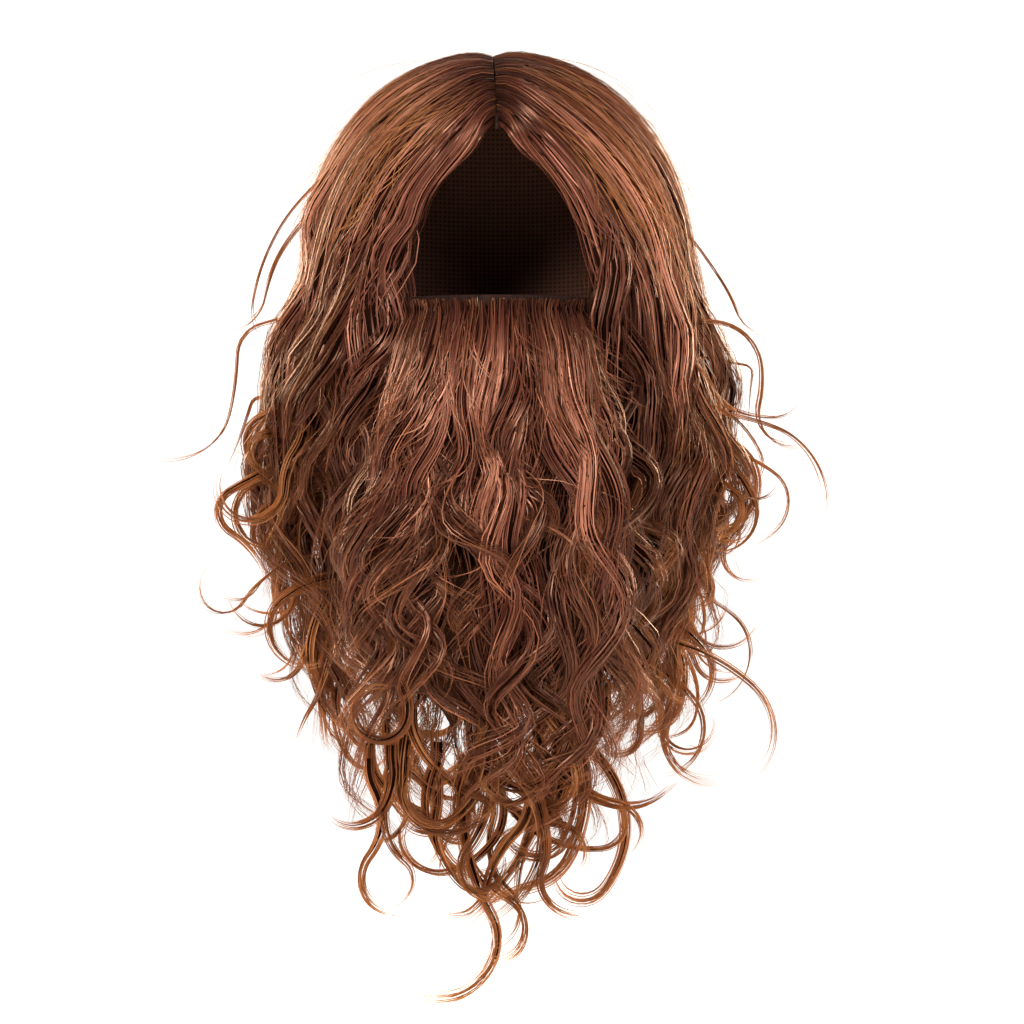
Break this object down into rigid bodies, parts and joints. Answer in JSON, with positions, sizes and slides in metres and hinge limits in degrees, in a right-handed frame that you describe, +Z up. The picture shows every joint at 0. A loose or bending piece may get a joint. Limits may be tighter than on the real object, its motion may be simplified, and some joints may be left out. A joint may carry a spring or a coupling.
{
  "type": "long wizard wig with beard",
  "caption": "Long wavy wizard wig of auburn hair with a dark centre parting on a net cap, and a matching full beard on a sewn band carried from the cap by short elastics.",
  "frame": {"origin": "inside of the cap's crown, where the top of the wearer's head bears", "axes": "+Z up, -Y the way the wearer faces, +X the wearer's left"},
  "size_m": [0.4313, 0.2622, 0.6081],
  "materials": {
    "hair": "long wavy synthetic fibre, auburn brown, with a soft sheen",
    "net": "dark brown stretch net, matt",
    "sewn_weft": "dark brown sewn weft, matt",
    "elastic": "dark brown woven elastic, matt"
  },
  "bodies": {
    "root": {"cap": "net", "parting_seam": "sewn_weft", "left_hair": "hair", "right_hair": "hair", "back_hair": "hair", "beard_band": "sewn_weft", "beard_strap_left": "elastic", "beard_strap_right": "elastic", "beard": "hair"}
  },
  "joints": []
}
